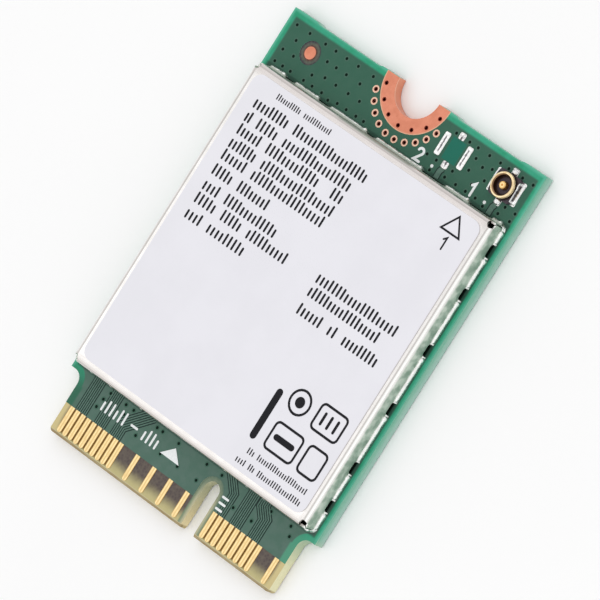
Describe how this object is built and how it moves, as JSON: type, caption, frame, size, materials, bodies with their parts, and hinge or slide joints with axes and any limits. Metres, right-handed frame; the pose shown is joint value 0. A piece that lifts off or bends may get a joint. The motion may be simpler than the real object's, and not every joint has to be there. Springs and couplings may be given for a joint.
{
  "type": "laptop wireless card",
  "caption": "Small plug-in wireless card: keyed edge tab, half-round screw notch, shielded radio section and one coaxial antenna socket.",
  "frame": {"origin": "under the middle of the board outline, on the underside", "axes": "+Y towards the screw notch, the contact tab at -Y; +Z out of the component side; +X to the right seen from the component side with the tab at the bottom"},
  "size_m": [0.022, 0.03, 0.0022],
  "materials": {
    "board": "green solder coating over glass laminate, satin",
    "gold": "thin gold plating, satin",
    "copper": "bare copper with a clear protective film, satin",
    "can_sheet": "tinned nickel-silver sheet, satin",
    "solder": "bright tin solder",
    "label": "matt polyester label",
    "socket_plastic": "dark moulded insulator",
    "chip_body": "black moulding compound",
    "ceramic_white": "fired ceramic",
    "ceramic_tan": "fired ceramic, tan",
    "ferrite": "dark ferrite"
  },
  "bodies": {
    "root": {"printed_board": "board", "upper_contacts": "gold", "lower_contacts": "gold", "notch_land": "copper", "earth_holes": "copper", "alignment_dot": "copper", "shield_can": "can_sheet", "can_solder": "solder", "shield_label": "label", "socket_shell": "gold", "socket_contact": "gold", "socket_base": "socket_plastic", "socket_lands": "solder", "spare_lands": "solder", "radio_chip": "chip_body", "radio_chip_leads": "solder", "amplifier_chip": "chip_body", "amplifier_chip_leads": "solder", "memory_chip": "chip_body", "memory_chip_leads": "solder", "crystal_base": "ceramic_white", "crystal_lid": "gold", "filter_bodies": "ceramic_white", "filter_ends": "solder", "inductor_bodies": "ferrite", "inductor_ends": "solder", "capacitor_bodies": "ceramic_tan", "capacitor_ends": "solder", "resistor_bodies": "chip_body", "resistor_ends": "solder"}
  },
  "joints": []
}
